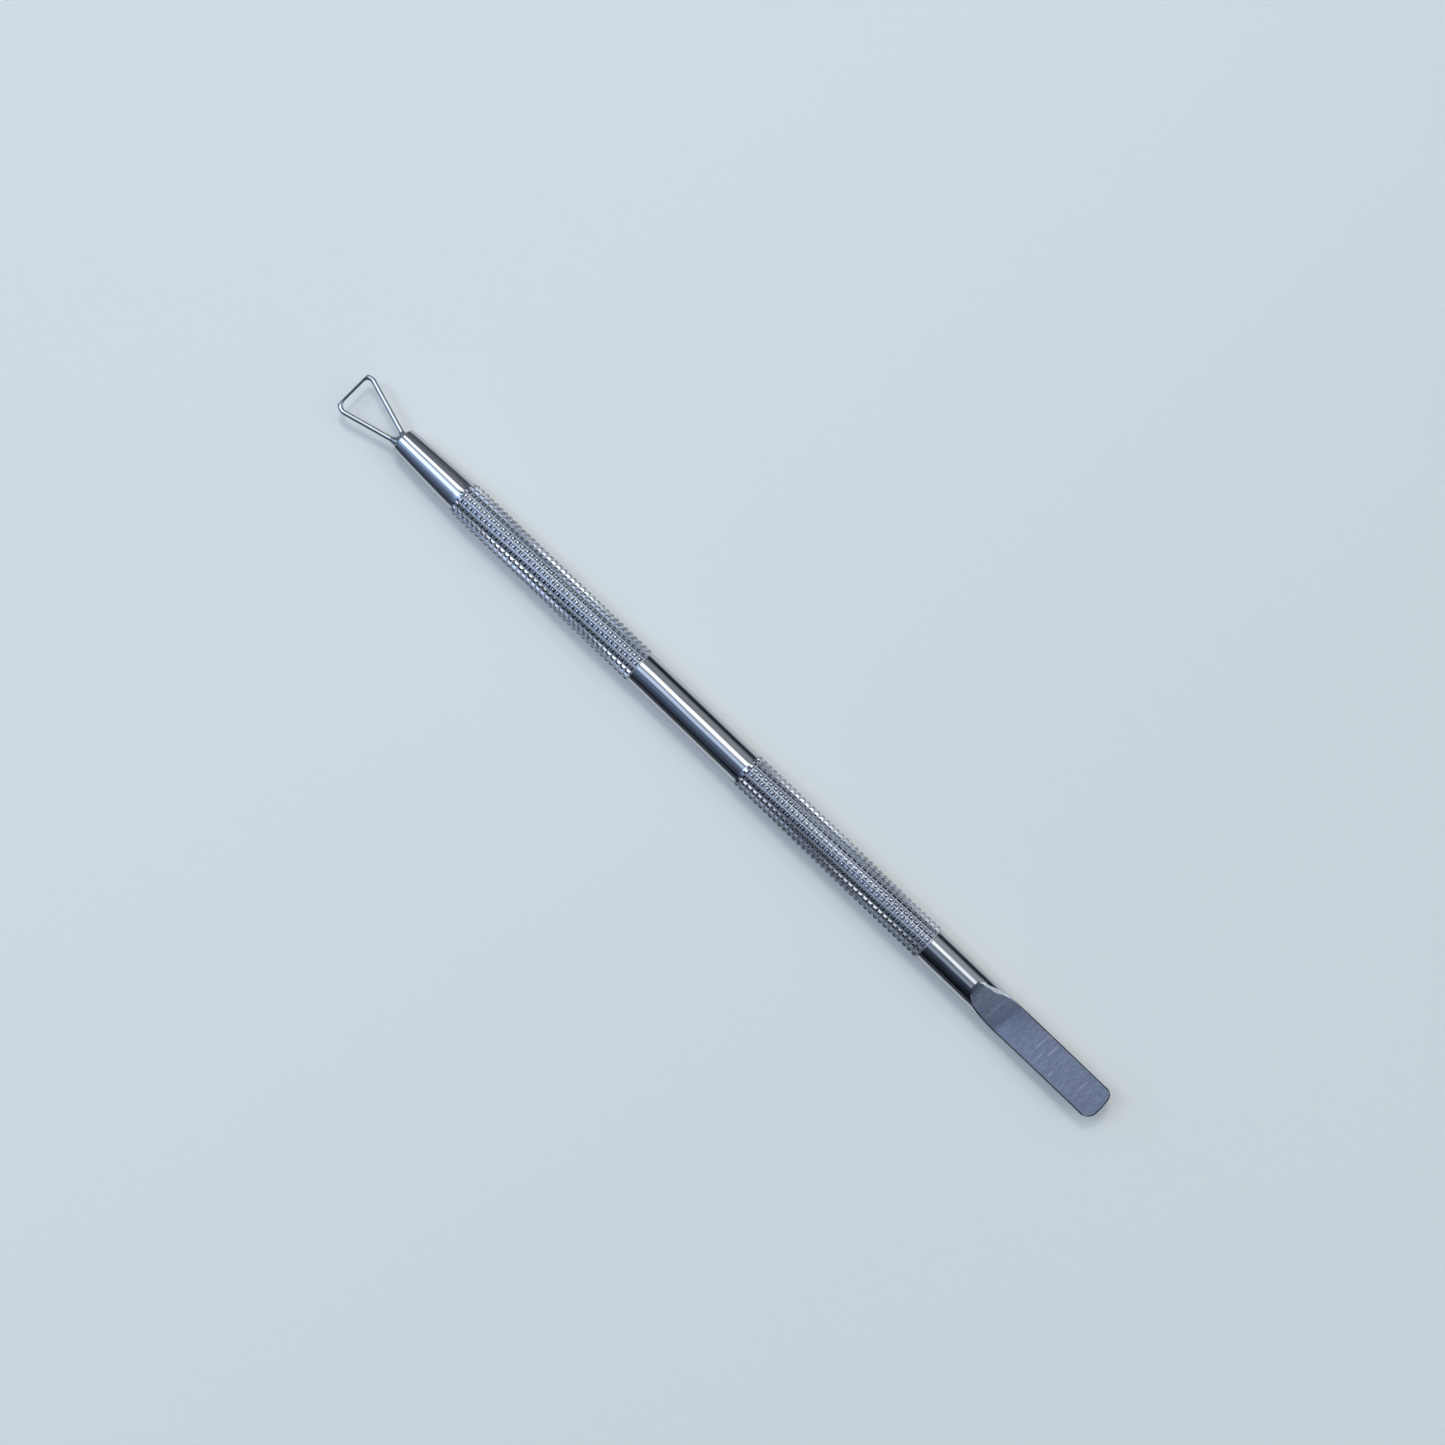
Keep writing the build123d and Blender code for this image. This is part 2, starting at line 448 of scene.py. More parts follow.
def polished_steel():
    material, n, inputs, (x, y, z) = new_material("polished_steel")
    turn = n.product(n.math("ARCTAN2", y, z), BAR_RADIUS)
    # Fine lines along the bar from polishing, soft streaks, and a few small specks.
    lines = n.noise((x, 0.12), (turn, 9.0), 0.0, detail=3.0)
    streaks = n.noise((x, 0.35), (turn, 1.6), 3.0, detail=4.0)
    specks = n.noise((x, 2.2), (turn, 3.0), 7.0, detail=5.0)
    bright = n.colours(lines, ((0.3, (0.545, 0.56, 0.58)), (0.7, (0.63, 0.645, 0.665))))
    # The thin edge round the blade's tip was ground too; its colour is painted nearly black there,
    # a painted reflection of the dark room.
    painted_dark_tip = n.ramp(x, TIP_X - 2.0, TIP_X - 1.3)
    dullness_and_painted_shade = n.ramp(specks, 0.62, 0.75, 0.0, 0.12)
    finish_steel(
        n,
        inputs,
        colour=n.blend(painted_dark_tip, bright, (0.07, 0.08, 0.10)),
        metallic=1.0,
        roughness=n.plus(n.ramp(streaks, 0.35, 0.7, 0.09, 0.15), dullness_and_painted_shade),
        height=n.plus(lines, n.product(specks, 0.4)),
        depth_mm=0.0012,
    )
    return material


def knurled_steel():
    material, n, inputs, (x, y, z) = new_material("knurled_steel")
    radius = n.math("SQRT", n.plus(n.product(y, y), n.product(z, z)))
    grain = n.noise((x, 6.0), (y, 6.0), (z, 6.0), detail=4.0)
    # The groove floors are matt and pale, and the teeth are polished.
    floor = n.ramp(radius, GROOVE_FLOOR + 0.05, GROOVE_FLOOR + 0.01)
    tooth = n.blend(n.ramp(grain, 0.35, 0.7, 0.0, 0.5), (0.56, 0.58, 0.63), (0.38, 0.41, 0.47))
    steel = n.blend(floor, tooth, (0.66, 0.69, 0.73))
    # The front knurl is painted darker on its -Y side: painted shade.
    dullness_and_painted_shade = n.product(n.ramp(y, -0.5, -1.5), n.ramp(x, 0.0, FRONT_KNURL_X, 0.12, 0.5))
    finish_steel(
        n,
        inputs,
        colour=n.blend(dullness_and_painted_shade, steel, (0.10, 0.11, 0.13)),
        metallic=n.minus(1.0, n.product(floor, 0.45)),
        roughness=n.plus(n.ramp(grain, 0.35, 0.7, 0.05, 0.11), n.product(floor, 0.25)),
        height=grain,
        depth_mm=0.004,
    )
    return material


# Long scratches on the blade: distance from the root, middle's y, half length.
SCRATCHES = (
    (4.2, 0.0, 2.1),
    (11.6, 0.8, 1.8),
    (12.7, -0.9, 1.3),
    (13.4, 1.2, 1.1),
    (15.3, -1.4, 0.8),
    (19.4, 0.4, 1.6),
)
SCRATCH_LEAN = radians(4)


def ground_steel():
    material, n, inputs, (x, y, z) = new_material("ground_steel")
    # Fine short scratches run across the blade, in stronger and weaker bands, and a few
    # are longer and brighter.
    lean = n.minus(x, n.product(y, tan(SCRATCH_LEAN)))
    fine = n.noise((lean, 6.5), (y, 1.1), 0.0, detail=3.0, roughness=0.65)
    broad = n.noise((lean, 1.3), (y, 0.22), 5.0, detail=3.0)
    mottle = n.noise((x, 5.0), (y, 5.0), 9.0, detail=3.0, roughness=0.7)
    scratch = n.product(n.ramp(fine, 0.40, 0.62), n.ramp(broad, 0.30, 0.65, 0.25, 0.75))
    longer = 0.0
    for distance, middle, half in SCRATCHES:
        off = n.math("ABSOLUTE", n.minus(lean, BLADE_X + distance))
        reach = n.math("ABSOLUTE", n.minus(y, middle))
        line = n.product(n.ramp(off, 0.10, 0.02), n.ramp(reach, half, half * 0.3))
        longer = n.math("MAXIMUM", longer, line)
    colour = n.blend(n.ramp(x, BLADE_X, BLADE_X + 6), (0.30, 0.32, 0.36), (0.22, 0.25, 0.355))
    colour = n.blend(n.ramp(mottle, 0.35, 0.7, 0.0, 0.4), colour, (0.18, 0.205, 0.285))
    colour = n.blend(scratch, colour, (0.39, 0.43, 0.55))
    colour = n.blend(n.product(longer, 0.55), colour, (0.62, 0.66, 0.77))
    # Near the blade's root the colour is painted nearly black: painted shade at the root's step.
    root = n.ramp(x, BLADE_X + 1.5, BLADE_X + 0.1, 0.0, 0.85)
    finish_steel(
        n,
        inputs,
        colour=n.blend(root, colour, (0.07, 0.08, 0.10)),
        metallic=1.0,
        roughness=n.ramp(fine, 0.3, 0.7, 0.42, 0.32),
        height=n.plus(fine, n.product(mottle, 0.5)),
        depth_mm=0.005,
    )
    return material


def burr_steel_painted_highlight():
    """The burr that grinding pushed up along the root's +Y edge, painted pale and partly
    non-metallic: a painted highlight of the window it catches.
    """
    material, n, inputs, (x, y, z) = new_material("burr_steel_painted_highlight")
    grain = n.noise((x, 3.0), (y, 5.0), 2.0, detail=3.0)
    finish_steel(
        n,
        inputs,
        colour=n.colours(grain, ((0.3, (0.55, 0.57, 0.58)), (0.7, (0.90, 0.92, 0.92)))),
        metallic=0.5,
        roughness=n.ramp(grain, 0.3, 0.7, 0.45, 0.3),
        height=grain,
        depth_mm=0.02,
    )
    return material


def drawn_wire():
    material, n, inputs, (x, y, z) = new_material("drawn_wire")
    lines = n.noise((x, 0.6), (y, 9.0), (z, 9.0), detail=3.0)
    bright = n.colours(lines, ((0.3, (0.60, 0.615, 0.635)), (0.7, (0.70, 0.715, 0.735))))
    # The crossbar was ground away outside, and is painted darker there: painted shade for the dark
    # its steep ground side reflects.
    inner_side = CROSSBAR_X + WIRE_RADIUS
    ground_and_painted_dark = n.ramp(x, inner_side + 0.12, inner_side - 0.02)
    finish_steel(
        n,
        inputs,
        colour=n.blend(ground_and_painted_dark, bright, (0.20, 0.235, 0.27)),
        metallic=1.0,
        roughness=n.ramp(lines, 0.3, 0.7, 0.15, 0.22),
        height=lines,
        depth_mm=0.002,
    )
    return material


def braze_metal():
    material, n, inputs, (x, y, z) = new_material("braze_metal")
    grain = n.noise((x, 7.0), (y, 7.0), (z, 7.0), detail=4.0)
    finish_steel(
        n,
        inputs,
        colour=n.colours(grain, ((0.35, (0.27, 0.30, 0.36)), (0.65, (0.44, 0.46, 0.51)))),
        metallic=1.0,
        roughness=n.ramp(grain, 0.3, 0.7, 0.22, 0.38),
        height=grain,
        depth_mm=0.008,
    )
    return material


def floor_card():
    material, n, inputs, (x, y, z) = new_material("pale_floor")
    card = n.blend(n.ramp(x, -70.0, 70.0), (0.755, 0.785, 0.775), (0.71, 0.735, 0.71))
    # In reflections the pale floor ends like a card, so the steel keeps its dark edges.
    beyond = n.math("MAXIMUM", n.ramp(y, -8.0, -12.0), n.ramp(y, 8.0, 32.0))
    # Close under the bar the floor is darkened in reflections too: a painted contact shadow.
    painted_shadow_beneath = n.ramp(n.math("ABSOLUTE", y), 4.5, 2.0, 0.0, 0.5)
    glossy = n.add("ShaderNodeLightPath").outputs["Is Glossy Ray"]
    kept = n.minus(1.0, n.product(n.math("MAXIMUM", beyond, painted_shadow_beneath), glossy, 0.93))
    n.plug(n.blend(kept, BLACK, card), inputs["Base Color"])
    n.plug(n.blend(kept, BLACK, (1.0, 1.0, 1.0)), inputs["Emission Color"])
    inputs["Emission Strength"].default_value = 0.09
    inputs["Roughness"].default_value = 0.7
    return material


# The bar's materials, by index.
POLISHED, KNURLED, GROUND, BURR_PAINTED_HIGHLIGHT = range(4)
bar_materials = [polished_steel(), knurled_steel(), ground_steel(), burr_steel_painted_highlight()]


# =====================================================================================
# The bar: one skin of rows along the tool, each with the same number of columns
# =====================================================================================
def wave_angle(column):
    """A column's place round the bar where the bar is plain or knurled, before the lean."""
    tooth, part = divmod(column, len(TOOTH_OUTLINE))
    return -pi + 2 * pi * tooth / TEETH + TOOTH_OUTLINE[part][0] / KNURL_RADIUS


def tooth_height(column):
    return TOOTH_OUTLINE[column % len(TOOTH_OUTLINE)][1]


def lean_angle(x):
    """How far the columns have turned towards +Y at x."""
    along = min(max(x, REAR_KNURL_X), COLLAR_X) - REAR_KNURL_X
    phase = mix(ROW_PHASE_REAR, ROW_PHASE_FRONT, smooth(SHANK_X, FRONT_KNURL_X, x))
    return phase * 2 * pi / TEETH + along * tan(KNURL_LEAN) / KNURL_RADIUS


def round_row(x, radius_at):
    """A row at x whose radius comes from the column's number."""
    row = []
    for column in range(COLUMNS):
        angle = wave_angle(column) + lean_angle(x)
        radius = radius_at(column)
        row.append((x, radius * sin(angle), radius * cos(angle)))
    return row


def plain_row(x, radius):
    return round_row(x, lambda column: radius)


def cone_radius(x):
    t = (x - MOUTH_X) / CONE_LENGTH
    return mix(MOUTH_RADIUS, CONE_END_RADIUS, t) + CONE_SWELL * 4 * t * (1 - t)


def knurl_rows(start_x, plain_radius, first_ring):
    """Rows of one knurl: the grooves fade in over the first part, and then the rings come."""
    rows = []
    pitch = (KNURL_LENGTH - first_ring) / (RINGS - 1)
    stretch = pitch / (2 * TOOTH_OUTLINE[-1][0])
    fade_end = first_ring + TOOTH_OUTLINE[0][0] * stretch
    steps = 7
    for step in range(steps):
        t = step / steps
        x = start_x + mix(RUN_OUT_FROM, fade_end, t)
        plain = plain_radius(x)
        floor = mix(plain, GROOVE_FLOOR, t)
        top = mix(plain, KNURL_RADIUS, t)
        rows.append(round_row(x, lambda column: min(top, floor + tooth_height(column))))
    for ring in range(RINGS):
        ring_x = start_x + first_ring + ring * pitch
        for offset, height in TOOTH_OUTLINE:
            x = ring_x + offset * stretch
            last = ring == RINGS - 1 and offset > 0
            if last and offset > 0.2:
                continue
            if last:
                # The last ring groove runs straight out to the plain bar.
                rows.append(round_row(x, lambda column: min(BAR_RADIUS, GROOVE_FLOOR + height)))
            else:
                rows.append(
                    round_row(x, lambda column: GROOVE_FLOOR + min(height, tooth_height(column)))
                )
    return rows


# ---- The blade's heights above the axis, at a distance from its root ----
FACE_CURVE = (
    (ROOT_STEP, ROOT_HEIGHT + 0.06, -0.36),
    (3.0, 1.34, -0.28),
    (6.5, FACE_HEIGHT, 0.0),
)
UNDERSIDE_CURVE = (
    (UNDERSIDE_START, -BAR_RADIUS, 0.45),
    (9.0, -1.0, 0.10),
    (TIP_BEVEL_FROM, -0.1, 0.02),
)


def face_tilt(s):
    """The face's slope towards +Y: it starts a little lower on the -Y side."""
    return (0.08 + 0.15 * smooth(0.3, 1.8, s)) * exp(-((s / 6.3) ** 2))


def spread_columns():
    """Fractions 0 to 1 across a face, with a narrow strip beside each of its two edges."""
    inset = EDGE_BEVEL / 2
    inner = FACE_COLUMNS - 4
    step = (1 - 2 * inset) / (inner + 1)
    middle = [inset + step * (i + 1) for i in range(inner)]
    return [0.0, inset] + middle + [1 - inset, 1.0]


FACE_SPREAD = spread_columns()


def blade_angles(right, left, bottom):
    """Angles of the blade's columns on the bar's circle, from its right edge round."""
    angles = [mix(right, left, f) for f in FACE_SPREAD]
    low_left = pi - bottom
    low_right = pi + bottom
    for i in range(FLANK_COLUMNS):
        angles.append(mix(left, low_left, (i + 1) / (FLANK_COLUMNS + 1)))
    angles += [mix(low_left, low_right, f) for f in FACE_SPREAD]
    for i in range(FLANK_COLUMNS):
        angles.append(mix(low_right, right + 2 * pi, (i + 1) / (FLANK_COLUMNS + 1)))
    return angles


def face_limits(s):
    """The angles at which the face meets the bar's skin, right and left."""
    tilt = face_tilt(s)
    height = through(FACE_CURVE, s) / (BAR_RADIUS * sqrt(1 + tilt * tilt))
    return -atan(tilt) - acos(height), -atan(tilt) + acos(height)


def underside_limit(s):
    """Half the angle that the underside takes from the bar's skin."""
    if s <= UNDERSIDE_START:
        return UNDERSIDE_ROOT_TURN
    height = -through(UNDERSIDE_CURVE, s)
    return max(acos(min(height / BAR_RADIUS, 1.0)), UNDERSIDE_ROOT_TURN)


def burr_width(s):
    """Width of the ragged shallow strip that grinding left along the root's +Y edge."""
    along = smooth(0.5, 1.6, s) * (1 - smooth(2.6, 4.6, s))
    return 0.24 * along * (1 + 0.9 * noise.noise(Vector((s * 2.3, 0.5, 0.0))))


def tip_setback(y):
    """How far the tip's end lies behind the tip's furthest point, at y."""
    distance = abs(y)
    bow = min(distance, 1.0) ** 2 / (2 * TIP_BOW_RADIUS)
    bow += TIP_BOW_SLOPE * max(distance - 1.0, 0.0)
    corner = TIP_CORNER_LEFT if y > 0 else TIP_CORNER_RIGHT
    into_corner = distance - (TIP_HALF_WIDTH - corner)
    if into_corner > 0:
        bow += corner - sqrt(max(corner**2 - into_corner**2, 0.0))
    return bow


def blade_row(s, top_drop=0.0, bottom_rise=0.0):
    """A row round the blade at distance s from its root.

    It runs across the face, down the left flank, back across the underside and up the
    right flank. The tip's outline pulls the row's sides back towards the root.
    """
    right, left = face_limits(s)
    bottom = underside_limit(s)
    half_edge = EDGE_BEVEL * min(1.0, s) / BAR_RADIUS
    angles = blade_angles(right - half_edge, left + half_edge, bottom)
    height = through(FACE_CURVE, s)
    tilt = face_tilt(s)
    low = through(UNDERSIDE_CURVE, s)
    low += TIP_BEVEL_SLOPE * max(s - TIP_BEVEL_FROM, 0.0)
    y_right = BAR_RADIUS * sin(right) + EDGE_BEVEL
    y_left = BAR_RADIUS * sin(left) - EDGE_BEVEL - burr_width(s)
    row = []
    for column, angle in enumerate(angles):
        y = BAR_RADIUS * sin(angle)
        z = BAR_RADIUS * cos(angle)
        if 0 < column < FACE_COLUMNS - 1:
            y = mix(y_right, y_left, (column - 1) / (FACE_COLUMNS - 3))
            z = height + tilt * y - top_drop
        under = column - FACE_COLUMNS - FLANK_COLUMNS
        if 0 <= under < FACE_COLUMNS and s > UNDERSIDE_START:
            half = sqrt(BAR_RADIUS**2 - low**2)
            y = mix(half, -half, under / (FACE_COLUMNS - 1))
            z = max(low, -sqrt(max(BAR_RADIUS**2 - y * y, 0.0)))
            z += bottom_rise
        z = min(z, height + tilt * y - top_drop) if s > 1 else z
        reach = max(0.0, (s - (BLADE_LENGTH - TIP_ZONE)) / TIP_ZONE)
        row.append((BLADE_X + s - reach * tip_setback(y), y, z))
    return row


def roll(row, shift):
    return row[shift:] + row[:shift]


def collar_rows(first_column):
    """Rows along the collar, on which the columns gather for the blade."""
    right, left = face_limits(ROOT_STEP)
    target = blade_angles(right, left, UNDERSIDE_ROOT_TURN)
    rows = []
    for step in range(15):
        t = step / 14
        x = mix(COLLAR_X + 0.15, BLADE_X - 0.08, t)
        gather = smooth(0.0, 1.0, t)
        row = []
        for column in range(COLUMNS):
            index = (column + first_column) % COLUMNS
            start = wave_angle(index) + lean_angle(x)
            if column + first_column >= COLUMNS:
                start += 2 * pi
            angle = mix(start, target[column], gather)
            row.append((x, BAR_RADIUS * sin(angle), BAR_RADIUS * cos(angle)))
        rows.append(row)
    # The edge of the root's small step curves back over the bar's top.
    row = []
    for column, angle in enumerate(target):
        y = BAR_RADIUS * sin(angle)
        z = BAR_RADIUS * cos(angle)
        x = BLADE_X + ROOT_STEP
        if column < FACE_COLUMNS:
            x = BLADE_X + ROOT_STEP * (BAR_RADIUS - z) / (BAR_RADIUS - ROOT_HEIGHT)
        row.append((x, y, z))
    rows.append(row)
    return rows


def bar_skin():
    """All rows of the bar, with the material of the strip that follows each."""
    rows = []
    materials = []

    def extend(new_rows, material):
        rows.extend(new_rows)
        materials.extend([material] * len(new_rows))

    # The bore, the mouth's flat rim and its rounded edge.
    extend([plain_row(MOUTH_X + BORE_DEPTH, BORE_RADIUS)], POLISHED)
    extend([plain_row(MOUTH_X + 0.06, BORE_RADIUS)], POLISHED)
    extend([plain_row(MOUTH_X, BORE_RADIUS + 0.05)], POLISHED)
    for step in range(7):
        turn = step / 6 * pi / 2
        x = MOUTH_X + MOUTH_ROUNDING * (1 - cos(turn))
        radius = MOUTH_RADIUS - MOUTH_ROUNDING * (1 - sin(turn))
        extend([plain_row(x, radius)], POLISHED)
    # The cone.
    cone_start = MOUTH_X + MOUTH_ROUNDING
    cone_end = REAR_KNURL_X + RUN_OUT_FROM
    for step in range(1, 16):
        x = mix(cone_start, cone_end, step / 16)
        extend([plain_row(x, cone_radius(x))], POLISHED)
    extend(knurl_rows(REAR_KNURL_X, cone_radius, FIRST_RING_REAR), KNURLED)
    for step in range(9):
        x = mix(SHANK_X + 0.15, FRONT_KNURL_X - 0.5, step / 8)
        extend([plain_row(x, BAR_RADIUS)], POLISHED)
    extend(knurl_rows(FRONT_KNURL_X, lambda x: BAR_RADIUS, FIRST_RING_FRONT), KNURLED)

    # Every row so far is turned to start at the column that becomes the face's right edge.
    turns = [wave_angle(column) + lean_angle(BLADE_X) for column in range(COLUMNS)]
    middle = min(range(COLUMNS), key=lambda column: abs(turns[column]))
    first = (middle - FACE_COLUMNS // 2) % COLUMNS
    rows[:] = [roll(row, first) for row in rows]
    collar = collar_rows(first)
    extend(collar[:-2], POLISHED)
    extend(collar[-2:], GROUND)

    # The blade, with close rows at its root and tip. The burr is beside the root's slope.
    stations = [0.47, 0.55, 0.66, 0.8, 1.0, 1.25, 1.5, 1.75, 2.0, 2.2, 2.4]
    stations += [2.7 + 0.3 * i for i in range(8)]
    stations += [5.2 + 0.5 * i for i in range(18)]
    stations += [14.2 + 0.7 * i for i in range(8)]
    stations += [19.7 + 0.25 * i for i in range(12)]
    for s in stations:
        extend([blade_row(s)], BURR_PAINTED_HIGHLIGHT if 0.7 < s < 4.4 else GROUND)
    extend([blade_row(TIP_BEVEL_FROM + 0.12 * i) for i in range(5)], GROUND)
    extend([blade_row(BLADE_LENGTH - TIP_RIM)], POLISHED)
    extend([blade_row(BLADE_LENGTH, EDGE_BEVEL, EDGE_BEVEL / 2)], POLISHED)
    return rows, materials


def strip_material(material, column):
    """The material of one face in a strip: the blade's flanks stay polished."""
    if material not in (GROUND, BURR_PAINTED_HIGHLIGHT):
        return material
    if material == BURR_PAINTED_HIGHLIGHT and column == FACE_COLUMNS - 2:
        return BURR_PAINTED_HIGHLIGHT
    under = column - FACE_COLUMNS - FLANK_COLUMNS
    on_face = 0 < column < FACE_COLUMNS - 2
    on_underside = 0 < under < FACE_COLUMNS - 2
    return GROUND if on_face or on_underside else POLISHED


def from_axis(vert):
    return hypot(vert.co.y, vert.co.z - AXIS_Z * MM)


def knurl_triangles(a, b, c, d):
    """A knurl's quad, cut along the steeper diagonal, which is a tooth's edge."""
    if abs(from_axis(a) - from_axis(c)) > abs(from_axis(b) - from_axis(d)):
        return (a, b, c), (a, c, d)
    return (a, b, d), (b, c, d)


def build_bar():
    rows, materials = bar_skin()
    mesh = bpy.data.meshes.new("turned_bar")
    grid = bmesh.new()
    verts = [[grid.verts.new(to_metres(point)) for point in row] for row in rows]
    for upper, lower, material in zip(verts, verts[1:], materials):
        for column in range(COLUMNS):
            after = (column + 1) % COLUMNS
            quad = (upper[column], lower[column], lower[after], upper[after])
            for corners in knurl_triangles(*quad) if material == KNURLED else (quad,):
                face = grid.faces.new(corners)
                face.material_index = strip_material(material, column)
    # The bore's end, and the blade's narrow end wall.
    grid.faces.new(list(reversed(verts[0])))
    end = verts[-1]
    low_right = 2 * FACE_COLUMNS + FLANK_COLUMNS - 1
    walls = []
    for column in range(FACE_COLUMNS - 1):
        low = low_right - column
        walls.append((end[column], end[low], end[low - 1], end[column + 1]))
    walls.append(end[FACE_COLUMNS - 1 : FACE_COLUMNS + FLANK_COLUMNS + 1])
    walls.append(end[low_right:] + end[:1])
    for corners in walls:
        grid.faces.new(corners).material_index = GROUND
    finish_mesh(grid, mesh, {KNURLED: KNURL_SHARP, None: SHARP})
    return new_piece("turned_bar", mesh, bar_materials)


# =====================================================================================
# The wire: a round section swept along straight runs and bends
# =====================================================================================
def turned(arm, angle):
    """A level vector, turned anticlockwise."""
    return Vector(
        (arm.x * cos(angle) - arm.y * sin(angle), arm.x * sin(angle) + arm.y * cos(angle))
    )


def rounded_path(corners, radii, step_degrees=6.0):
    """Points along a polyline whose inner corners are rounded."""
    points = [Vector(corners[0])]
    for before, corner, after, radius in zip(corners, corners[1:], corners[2:], radii):
        corner = Vector(corner)
        back = (Vector(before) - corner).normalized()
        ahead = (Vector(after) - corner).normalized()
        half = back.angle(ahead) / 2
        centre = corner + (back + ahead).normalized() * (radius / sin(half))
        start = corner + back * (radius / tan(half))
        turn = pi - 2 * half
        side = 1 if back.x * ahead.y - back.y * ahead.x > 0 else -1
        steps = max(2, round(degrees(turn) / step_degrees))
        arm = start - centre
        for step in range(steps + 1):
            points.append(centre + turned(arm, -side * turn * step / steps))
    points.append(Vector(corners[-1]))
    return points


def wire_path():
    arm_run = LEG_BEND_X - CROSSBAR_X
    return rounded_path(
        (
            (LEG_END_X, LEG_LEFT_Y),
            (LEG_BEND_X, LEG_LEFT_Y),
            (CROSSBAR_X, LEG_LEFT_Y + arm_run * tan(ARM_LEFT)),
            (CROSSBAR_X, LEG_RIGHT_Y - arm_run * tan(ARM_RIGHT)),
            (LEG_BEND_X, LEG_RIGHT_Y),
            (LEG_END_X, LEG_RIGHT_Y),
        ),
        BEND_RADII,
    )


def divided(points, longest):
    """The same path with its long runs divided."""
    result = [points[0]]
    for start, end in zip(points, points[1:]):
        pieces = max(1, round((end - start).length / longest))
        for piece in range(1, pieces + 1):
            result.append(start.lerp(end, piece / pieces))
    return result


def skin_rings(grid, rings):
    """Join rings of vertices with faces, and close both ends."""
    for first, second in zip(rings, rings[1:]):
        for corner in range(len(first)):
            after = (corner + 1) % len(first)
            grid.faces.new((first[corner], first[after], second[after], second[corner]))
    grid.faces.new(list(reversed(rings[0])))
    grid.faces.new(rings[-1])


def sweep(grid, points, sides, radius_at, place=tuple):
    """Sweep a round section along a level path into a bmesh, with its ends closed."""
    rings = []
    travelled = 0.0
    for index, point in enumerate(points):
        before = points[max(index - 1, 0)]
        after = points[min(index + 1, len(points) - 1)]
        travelled += (point - before).length
        ahead = (after - before).normalized()
        side = Vector((-ahead.y, ahead.x))
        radius = radius_at(travelled)
        ring = []
        for corner in range(sides):
            turn = 2 * pi * corner / sides
            across = point + side * (radius * cos(turn))
            ring.append(grid.verts.new(place((across.x, across.y, radius * sin(turn)))))
        rings.append(ring)
    skin_rings(grid, rings)


def build_wire():
    mesh = bpy.data.meshes.new("bent_wire")
    grid = bmesh.new()

    def place(point):
        x, y, z = point
        return to_metres((max(x, LOOP_END_X), y, z))

    sweep(grid, divided(wire_path(), 0.6), 32, lambda travelled: WIRE_RADIUS, place)
    finish_mesh(grid, mesh, {None: SHARP})
    return new_piece("bent_wire", mesh, [drawn_wire()])


# =====================================================================================
# The braze: a domed fill in the mouth that climbs a little way up both legs
# =====================================================================================
def braze_dome(grid):
    """The plug in the bore, with its dome in the mouth."""
    outline = [(BORE_DEPTH - 0.5, 0.2), (BORE_DEPTH - 0.5, BRAZE_RADIUS), (0.03, BRAZE_RADIUS)]
    for step in range(1, 10):
        turn = step / 9.5 * pi / 2
        outline.append((-BRAZE_DOME * sin(turn), BRAZE_RADIUS * cos(turn)))
    sides = 48
    rings = []
    for offset, radius in outline:
        ring = []
        for corner in range(sides):
            turn = 2 * pi * corner / sides
            ring.append(grid.verts.new((MOUTH_X + offset, radius * cos(turn), radius * sin(turn))))
        rings.append(ring)
    skin_rings(grid, rings)


def braze_sleeve(grid, path, climb):
    """The braze round one leg, from just inside the bore to where it thins out."""
    run = []
    for point in divided(path, 0.1):
        if point.x < MOUTH_X - climb:
            break
        if point.x < MOUTH_X + 0.8:
            run.append(point)
    total = sum((b - a).length for a, b in zip(run, run[1:]))

    def radius_at(travelled):
        extra = BRAZE_SLEEVE * (1 - smooth(0.5 * total, total, travelled))
        return WIRE_RADIUS + extra - 0.01

    sweep(grid, run, 28, radius_at)


def braze_point(grid):
    """The point of braze that fills the narrow end of the gap between the legs."""
    gap_y = (LEG_LEFT_Y + LEG_RIGHT_Y) / 2
    gap = [Vector((MOUTH_X + 0.3 - 0.1 * i, gap_y)) for i in range(12)]
    sweep(grid, gap, 24, lambda travelled: 0.4 - 0.26 * smooth(0.5, 1.1, travelled))


def melted_together(raw):
    """A copy of a mesh, fused into one skin and softened, in millimetres."""
    holder = bpy.data.objects.new("braze_raw", raw)
    bpy.context.scene.collection.objects.link(holder)
    fuse = holder.modifiers.new("fuse", "REMESH")
    fuse.mode = "VOXEL"
    fuse.voxel_size = BRAZE_VOXEL
    soften = holder.modifiers.new("soften", "SMOOTH")
    soften.factor = 0.5
    soften.iterations = 9
    evaluated = holder.evaluated_get(bpy.context.evaluated_depsgraph_get())
    mesh = bpy.data.meshes.new_from_object(evaluated)
    bpy.data.objects.remove(holder)
    bpy.data.meshes.remove(raw)
    return mesh


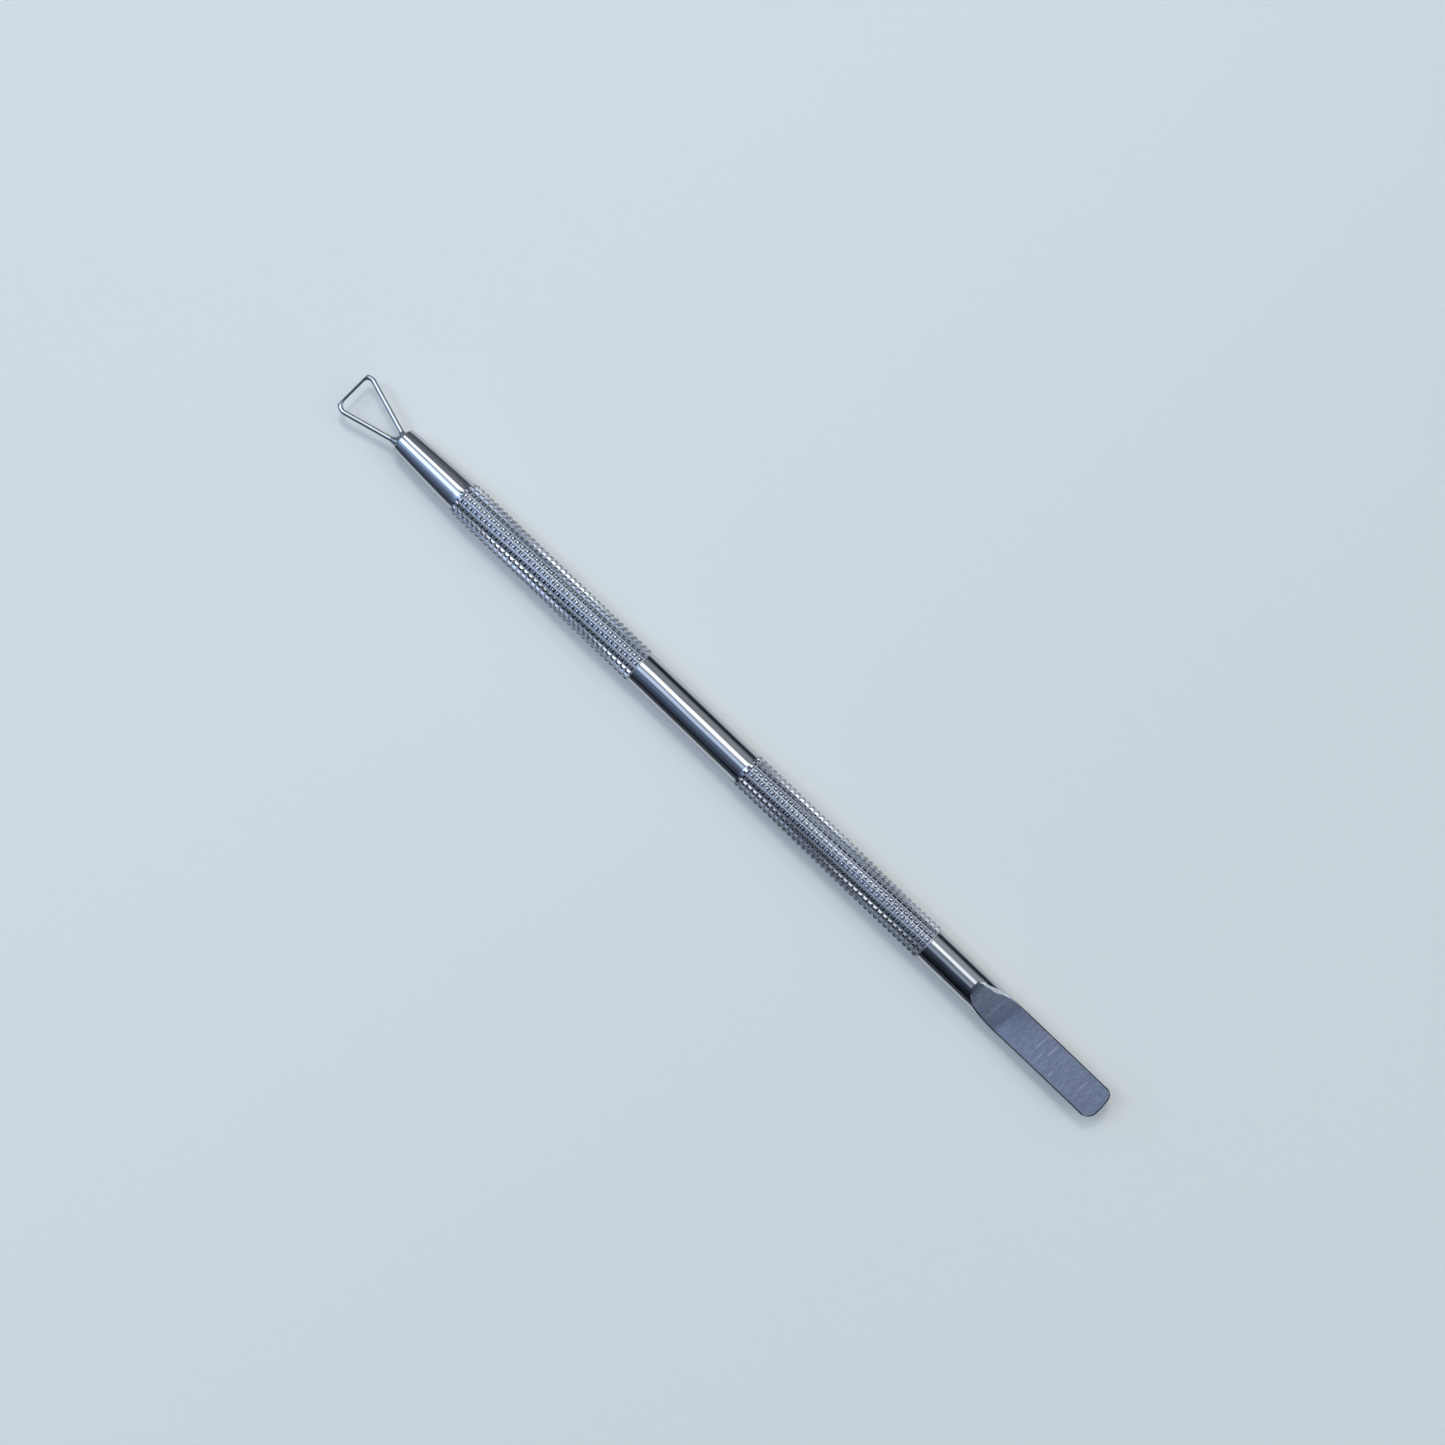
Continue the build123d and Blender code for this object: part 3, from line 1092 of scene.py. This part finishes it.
def build_braze():
    grid = bmesh.new()
    braze_dome(grid)
    braze_sleeve(grid, wire_path(), BRAZE_CLIMB_LEFT)
    braze_sleeve(grid, list(reversed(wire_path())), BRAZE_CLIMB_RIGHT)
    braze_point(grid)
    bmesh.ops.recalc_face_normals(grid, faces=grid.faces)
    raw = bpy.data.meshes.new("braze_raw")
    grid.to_mesh(raw)
    grid.free()
    mesh = melted_together(raw)
    mesh.name = "braze_runs"
    # Outside the mouth the braze is a little uneven.
    for vert in mesh.vertices:
        x, y, z = vert.co
        uneven = 0.03 * noise.noise(vert.co * 2.5) if x < MOUTH_X - 0.05 else 0.0
        vert.co = to_metres((x, y * (1 + uneven), z * (1 + uneven)))
    mesh.polygons.foreach_set("use_smooth", [True] * len(mesh.polygons))
    return new_piece("braze_runs", mesh, [braze_metal()])


bar = build_bar()
wire = build_wire()
braze = build_braze()
for piece, node, slot in (
    (bar, "handle_bar", "polished_steel"),
    (wire, "wire_loop", "loop_wire"),
    (braze, "braze_fill", "braze"),
):
    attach(piece, "root")
    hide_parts(node)


# =====================================================================================
# Floor and camera
# =====================================================================================
FLOOR_HALF_SIZE = 3.0
FLOOR_DIVISIONS = 24

# The camera looks down from almost overhead, a little from the blade's end and from -Y.
CAMERA_TARGET = Vector((-1.71, 2.28, 2.65)) * MM
CAMERA_ELEVATION = radians(83)
CAMERA_SIDE = (0.694, -0.720)
CAMERA_DISTANCE = 339 * MM
LIGHT_DISTANCE = 0.9


def build_floor():
    """A plain pale floor that the bar's lowest teeth touch."""
    lowest = min(vert.co.z for vert in bar.data.vertices)
    mesh = bpy.data.meshes.new("floor")
    grid = bmesh.new()
    bmesh.ops.create_grid(
        grid, x_segments=FLOOR_DIVISIONS, y_segments=FLOOR_DIVISIONS, size=FLOOR_HALF_SIZE
    )
    for vert in grid.verts:
        vert.co.z = lowest
    grid.to_mesh(mesh)
    grid.free()
    mesh.materials.append(floor_card())
    floor = bpy.data.objects.new("floor", mesh)
    bpy.context.scene.collection.objects.link(floor)
    return floor


build_floor()


def build_camera():
    level = cos(CAMERA_ELEVATION)
    side_x, side_y = CAMERA_SIDE
    towards = Vector((side_x * level, side_y * level, sin(CAMERA_ELEVATION)))
    data = bpy.data.cameras.new("camera")
    data.sensor_width = 36
    data.lens = 62.7
    data.clip_start = 0.01
    camera = bpy.data.objects.new("camera", data)
    camera.location = CAMERA_TARGET + towards * CAMERA_DISTANCE
    camera.rotation_euler = (-towards).to_track_quat("-Z", "Y").to_euler()
    bpy.context.scene.collection.objects.link(camera)
    bpy.context.scene.camera = camera


build_camera()


def build_soft_light(name, across, along, energy, size, colour):
    """A soft round light in a direction like the world's, which mirrors don't show."""
    data = bpy.data.lights.new(name, "AREA")
    data.shape = "DISK"
    data.size = size
    data.energy = energy
    data.color = colour
    level = cos(radians(along))
    towards = Vector(
        (sin(radians(along)), -sin(radians(across)) * level, cos(radians(across)) * level)
    )
    light = bpy.data.objects.new(name, data)
    light.location = towards * LIGHT_DISTANCE
    light.rotation_euler = towards.to_track_quat("Z", "Y").to_euler()
    light.visible_glossy = False
    bpy.context.scene.collection.objects.link(light)


build_soft_light("window_light", -18, -18, 1.15, 0.2, (1.0, 0.985, 0.95))
build_soft_light("lamp_light", 20, -36, 0.35, 0.14, (0.78, 0.94, 1.0))
bpy.context.scene.view_settings.view_transform = "Standard"
